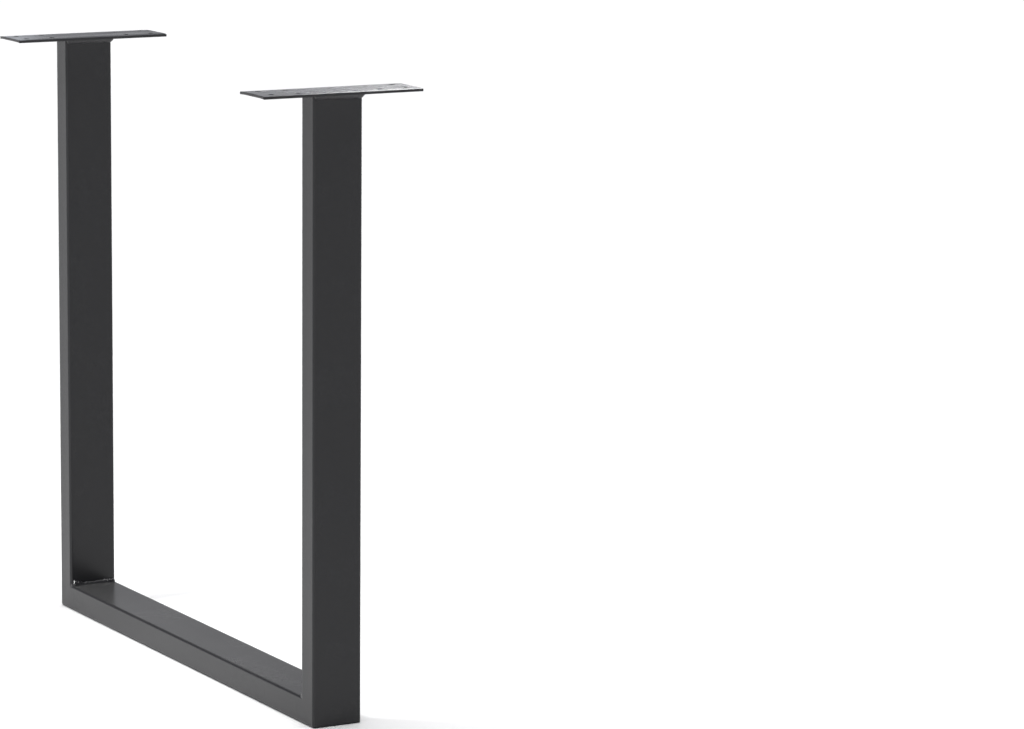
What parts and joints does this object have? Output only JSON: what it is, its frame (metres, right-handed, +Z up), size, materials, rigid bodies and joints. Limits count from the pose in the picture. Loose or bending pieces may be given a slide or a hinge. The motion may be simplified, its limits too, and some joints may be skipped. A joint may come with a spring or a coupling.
{
  "type": "table leg",
  "caption": "U-shaped table leg of welded rectangular steel tube, with mitred bottom corners and a drilled screw plate across the top of each upright.",
  "frame": {"origin": "on the floor, under the middle of the floor rail", "axes": "+X along the floor rail, +Y across the leg towards the welded side of the plates, +Z up"},
  "size_m": [0.72, 0.195, 0.71],
  "materials": {
    "powder_coat": "satin black powder coat",
    "plate_coat": "satin black powder coat on flat bar",
    "coated_weld": "glossy black powder coat pooled over a rippled weld"
  },
  "bodies": {
    "root": {"left_upright": "powder_coat", "right_upright": "powder_coat", "floor_rail": "powder_coat", "left_plate": "plate_coat", "right_plate": "plate_coat", "left_plate_weld": "coated_weld", "right_plate_weld": "coated_weld", "left_corner_bead": "coated_weld", "right_corner_bead": "coated_weld"}
  },
  "joints": []
}
